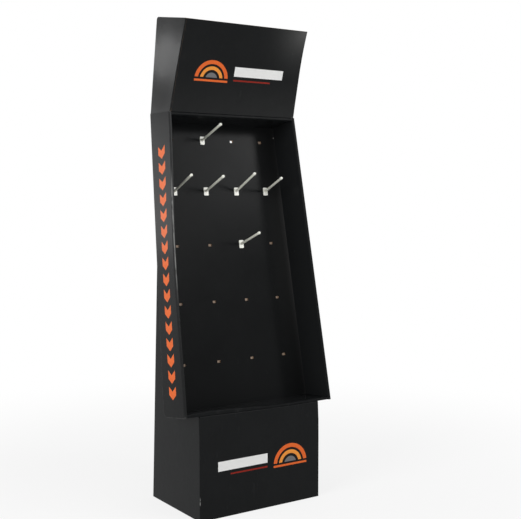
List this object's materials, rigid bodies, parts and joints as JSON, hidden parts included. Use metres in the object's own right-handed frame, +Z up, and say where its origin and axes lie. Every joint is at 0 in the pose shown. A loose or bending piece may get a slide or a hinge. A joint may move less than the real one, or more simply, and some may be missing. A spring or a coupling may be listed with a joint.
{
  "type": "hook display rack",
  "caption": "Free-standing folded cardboard display rack with a leaning slotted hook tray, a forward-tilted winged header and clip-in plastic hooks.",
  "frame": {"origin": "on the floor, under the middle of the base", "axes": "+Z up, +X to the right as seen from the front, the front faces -Y"},
  "size_m": [0.5144, 0.284, 1.4354],
  "materials": {
    "printed_board": "black print under a satin film",
    "kraft_board": "unprinted brown liner",
    "hook_plastic": "milky, slightly translucent"
  },
  "bodies": {
    "root": {"base_shell": "printed_board", "tray": "printed_board", "panel_backer": "kraft_board", "header": "printed_board", "hook_row1_col2": "hook_plastic", "hook_row2_col1": "hook_plastic", "hook_row2_col2": "hook_plastic", "hook_row2_col3": "hook_plastic", "hook_row2_col4": "hook_plastic", "hook_row3_col3": "hook_plastic"}
  },
  "joints": []
}
